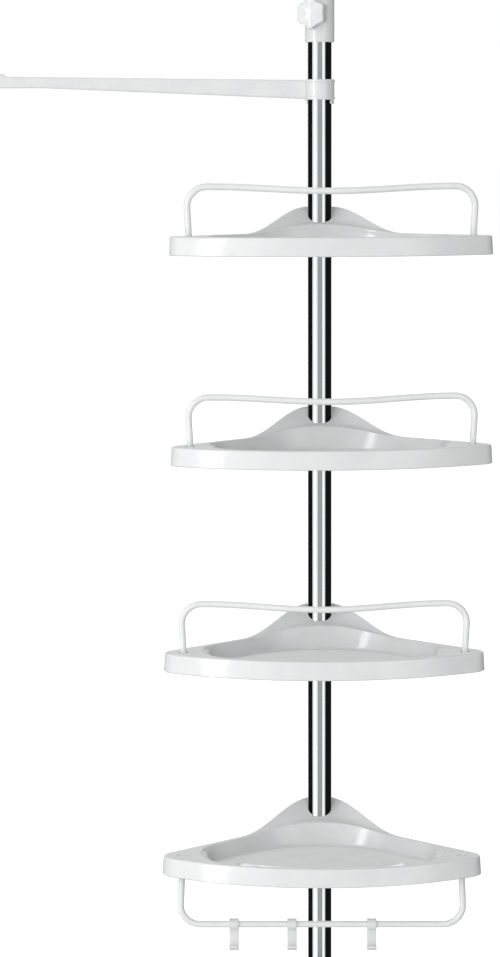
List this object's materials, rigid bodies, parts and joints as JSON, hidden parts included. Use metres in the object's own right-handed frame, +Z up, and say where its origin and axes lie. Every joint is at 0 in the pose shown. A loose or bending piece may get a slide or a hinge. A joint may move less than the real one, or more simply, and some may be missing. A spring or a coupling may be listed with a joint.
{
  "type": "shower caddy",
  "caption": "Corner shower caddy on a telescopic tension pole, with quarter-round trays, wire guard rails, sliding hooks and a swinging towel arm.",
  "frame": {"origin": "centre of the floor foot's underside, on the pole's axis", "axes": "+Z up along the pole, -Y towards the user in front of the trays, +X to the user's right; the room's corner is at +Y"},
  "size_m": [0.5109, 0.241, 1.1953],
  "materials": {
    "white_plastic": "glossy injection-moulded white plastic",
    "coated_wire": "smooth white coating over steel wire",
    "polished_tube": "mirror-polished stainless tube",
    "plain_steel": "zinc-plated steel",
    "grey_rubber": "matt grey rubber"
  },
  "bodies": {
    "pole": {"floor_pad": "grey_rubber", "floor_foot": "white_plastic", "pole_section_1": "polished_tube", "pole_section_2": "polished_tube", "pole_section_3": "polished_tube", "pole_section_4": "polished_tube", "pole_section_5": "polished_tube", "pole_coupler_1": "white_plastic", "pole_coupler_2": "white_plastic", "pole_coupler_3": "white_plastic", "pole_coupler_4": "white_plastic", "arm_clip": "white_plastic", "lock_collar": "white_plastic"},
    "tray_1_set": {"tray_1": "white_plastic", "hook_rail": "coated_wire", "rail_cap_left": "white_plastic", "rail_cap_right": "white_plastic"},
    "tray_2_set": {"tray_2": "white_plastic", "guard_rail_2": "coated_wire"},
    "tray_3_set": {"tray_3": "white_plastic", "guard_rail_3": "coated_wire"},
    "tray_4_set": {"tray_4": "white_plastic", "guard_rail_4": "coated_wire"},
    "hook_1_body": {"hook_1": "white_plastic"},
    "hook_2_body": {"hook_2": "white_plastic"},
    "hook_3_body": {"hook_3": "white_plastic"},
    "arm": {"towel_arm": "white_plastic"},
    "shoe": {"pressure_shoe": "plain_steel"},
    "knob": {"clamp_knob": "white_plastic", "clamp_screw": "plain_steel"},
    "inner_pole": {"inner_tube": "polished_tube", "inner_tube_plug": "white_plastic", "spring_seat": "white_plastic", "tension_spring": "plain_steel", "tube_mouth_bush": "white_plastic"},
    "ceiling_end": {"spring_plunger": "white_plastic", "ceiling_cup": "white_plastic", "ceiling_pad": "grey_rubber"}
  },
  "joints": [
    {"name": "tray_1_turn", "type": "hinge", "parent": "pole", "child": "tray_1_set", "pos_m": [0, 0, 0.24], "axis": [0, 0, 1], "continuous": true},
    {"name": "tray_2_turn", "type": "hinge", "parent": "pole", "child": "tray_2_set", "pos_m": [0, 0, 0.45], "axis": [0, 0, 1], "continuous": true},
    {"name": "tray_3_turn", "type": "hinge", "parent": "pole", "child": "tray_3_set", "pos_m": [0, 0, 0.66], "axis": [0, 0, 1], "continuous": true},
    {"name": "tray_4_turn", "type": "hinge", "parent": "pole", "child": "tray_4_set", "pos_m": [0, 0, 0.87], "axis": [0, 0, 1], "continuous": true},
    {"name": "arm_swing", "type": "hinge", "parent": "pole", "child": "arm", "pos_m": [0, 0, 1.0178], "axis": [0, 0, 1], "continuous": true},
    {"name": "hook_1_slide", "type": "slide", "parent": "tray_1_set", "child": "hook_1_body", "axis": [0.9999, 0.014, 0], "range_m": [-0.028, 0.022]},
    {"name": "hook_2_slide", "type": "slide", "parent": "tray_1_set", "child": "hook_2_body", "axis": [0.9999, 0.014, 0], "range_m": [-0.025, 0.03]},
    {"name": "hook_3_slide", "type": "slide", "parent": "tray_1_set", "child": "hook_3_body", "axis": [0.9999, 0.014, 0], "range_m": [-0.035, 0.06]},
    {"name": "telescope", "type": "slide", "parent": "pole", "child": "inner_pole", "axis": [0, 0, 1], "range_m": [0, 0.9]},
    {"name": "ceiling_spring", "type": "slide", "parent": "inner_pole", "child": "ceiling_end", "axis": [0, 0, 1], "range_m": [-0.012, 0], "stiffness_N_per_m": 1500, "springref_m": 0.012, "deforming": ["tension_spring"]},
    {"name": "screw_advance", "type": "slide", "parent": "pole", "child": "shoe", "axis": [-0.3584, -0.9336, 0], "range_m": [0, 0.0026]},
    {"name": "knob_turn", "type": "hinge", "parent": "shoe", "child": "knob", "pos_m": [0, 0, 1.0955], "axis": [-0.3584, -0.9336, 0], "range_deg": [0, 720]}
  ],
  "couplings": [
    {"joint": "screw_advance", "follows": "knob_turn", "m_per_rad": 0.00019894}
  ]
}
